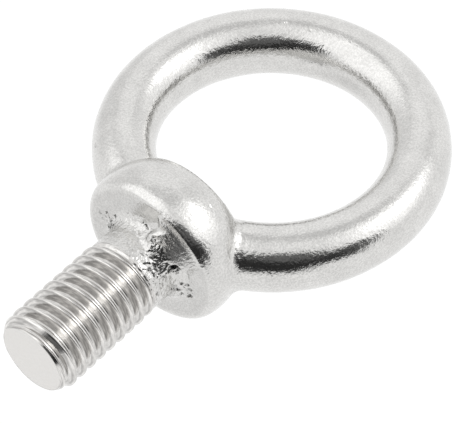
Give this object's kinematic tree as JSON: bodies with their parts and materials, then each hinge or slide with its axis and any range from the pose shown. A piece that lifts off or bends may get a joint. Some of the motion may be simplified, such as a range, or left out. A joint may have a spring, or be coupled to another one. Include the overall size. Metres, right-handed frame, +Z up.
{
  "type": "lifting eye bolt",
  "caption": "Lifting eye bolt: a smooth oval-section ring on a barrel-shaped collar with a flat seat and a coarse-threaded shank below it.",
  "frame": {"origin": "centre of the collar's seat face, on the bolt's axis, where the shank starts", "axes": "+Z up the bolt's axis towards the ring, with the threaded shank pointing down -Z; the ring lies in the XZ plane, so a hook or shackle pin goes through it along Y"},
  "size_m": [0.0404, 0.0188, 0.0593],
  "materials": {
    "cast_ring": "cast stainless steel, tumbled and polished to a soft shine over a fine orange-peel grain",
    "cast_collar": "cast stainless steel, tumbled, with rough pitted skin left round the neck",
    "cut_thread": "machined stainless thread with bright flanks and a matt cut-off tip"
  },
  "bodies": {
    "root": {"eye_ring": "cast_ring", "collar": "cast_collar", "threaded_shank": "cut_thread"}
  },
  "joints": []
}
